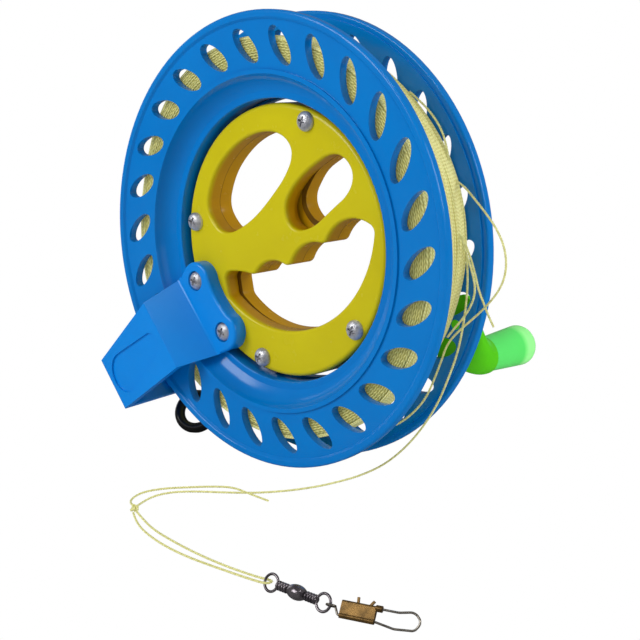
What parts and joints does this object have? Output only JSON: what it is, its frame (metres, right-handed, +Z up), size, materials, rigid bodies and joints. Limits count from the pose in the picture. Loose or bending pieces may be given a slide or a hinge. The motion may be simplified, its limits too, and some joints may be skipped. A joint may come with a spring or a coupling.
{
  "type": "kite line winder",
  "caption": "Hand-held line winder: a two-flange spool on ball bearings round a palm grip, with crank knob, line guide, wound line and snap swivel.",
  "frame": {"origin": "on the spool's axis, midway between the outer faces of its two flanges, where the hand holds the grip", "axes": "+Y along the spool's axis towards the crank knob, +Z up as pictured, +X to the right seen from the front; the loose line lies at Z = -0.090"},
  "size_m": [0.2357, 0.1611, 0.181],
  "materials": {
    "blue_plastic": "moulded, glossy",
    "olive_plastic": "moulded, glossy",
    "lime_plastic": "moulded, glossy",
    "mint_plastic": "see-through, glossy",
    "black_plastic": "smooth",
    "screw_steel": "bright plated",
    "bearing_steel": "ground",
    "line": "twisted strands",
    "dark_nickel": "dark plated",
    "bronze_sheet": "dark bronze plated",
    "spring_wire": "plated"
  },
  "bodies": {
    "grip": {"grip_front": "olive_plastic", "grip_rear": "olive_plastic", "grip_screws": "screw_steel", "guide_arm": "blue_plastic", "arm_screws": "screw_steel", "bearing_inner_rings": "bearing_steel", "free_line": "line", "line_tail": "line", "leader_loop": "line", "line_knot": "line", "side_loop": "line", "loose_end": "line", "slack_strand": "line", "upper_loop": "line", "swivel_line_eye": "dark_nickel"},
    "spool": {"spool_front_flange": "blue_plastic", "spool_rear_flange": "blue_plastic", "spool_screws": "screw_steel", "wound_core": "line", "wound_turns": "line", "knob_base": "lime_plastic"},
    "crank_sleeve": {"knob_sleeve": "mint_plastic"},
    "line_ring": {"guide_ring": "black_plastic"},
    "swivel_case": {"swivel_barrel": "dark_nickel"},
    "snap_eye": {"swivel_snap_eye": "dark_nickel"},
    "snap": {"snap_plate": "bronze_sheet", "snap_wire": "spring_wire"},
    "bearing_1": {"bearing_outer_1": "bearing_steel"},
    "bearing_2": {"bearing_outer_2": "bearing_steel"},
    "bearing_3": {"bearing_outer_3": "bearing_steel"},
    "bearing_4": {"bearing_outer_4": "bearing_steel"}
  },
  "joints": [
    {"name": "spool_spin", "type": "hinge", "parent": "grip", "child": "spool", "pos_m": [0, 0, 0], "axis": [0, 1, 0], "continuous": true},
    {"name": "crank_sleeve_spin", "type": "hinge", "parent": "spool", "child": "crank_sleeve", "pos_m": [0.07558, 0.04, -0.04019], "axis": [0, 1, 0], "continuous": true},
    {"name": "line_ring_swivel", "type": "hinge", "parent": "grip", "child": "line_ring", "pos_m": [-0.05759, 0, -0.08224], "axis": [-0.788, 0, 0.6157], "continuous": true},
    {"name": "swivel_case_spin", "type": "hinge", "parent": "grip", "child": "swivel_case", "pos_m": [0.102, -0.10251, -0.0869], "axis": [1, 0.0087, 0], "continuous": true},
    {"name": "snap_eye_spin", "type": "hinge", "parent": "swivel_case", "child": "snap_eye", "pos_m": [0.102, -0.10251, -0.0869], "axis": [1, 0.0087, 0], "continuous": true},
    {"name": "snap_swing", "type": "hinge", "parent": "snap_eye", "child": "snap", "pos_m": [0.1155, -0.10239, -0.0869], "axis": [-0.1715, 0.5473, 0.8192], "range_deg": [-45, 45]},
    {"name": "bearing_1_spin", "type": "hinge", "parent": "grip", "child": "bearing_1", "pos_m": [0.01412, 0.0027, 0.04797], "axis": [0, 1, 0], "continuous": true},
    {"name": "bearing_2_spin", "type": "hinge", "parent": "grip", "child": "bearing_2", "pos_m": [-0.04986, 0.0027, 0.00375], "axis": [0, 1, 0], "continuous": true},
    {"name": "bearing_3_spin", "type": "hinge", "parent": "grip", "child": "bearing_3", "pos_m": [-0.0104, 0.0027, -0.04891], "axis": [0, 1, 0], "continuous": true},
    {"name": "bearing_4_spin", "type": "hinge", "parent": "grip", "child": "bearing_4", "pos_m": [0.03988, 0.0027, -0.03016], "axis": [0, 1, 0], "continuous": true}
  ],
  "couplings": [
    {"joint": "bearing_1_spin", "follows": "spool_spin", "ratio": 7.6733},
    {"joint": "bearing_2_spin", "follows": "spool_spin", "ratio": 7.6733},
    {"joint": "bearing_3_spin", "follows": "spool_spin", "ratio": 7.6733},
    {"joint": "bearing_4_spin", "follows": "spool_spin", "ratio": 7.6733}
  ]
}
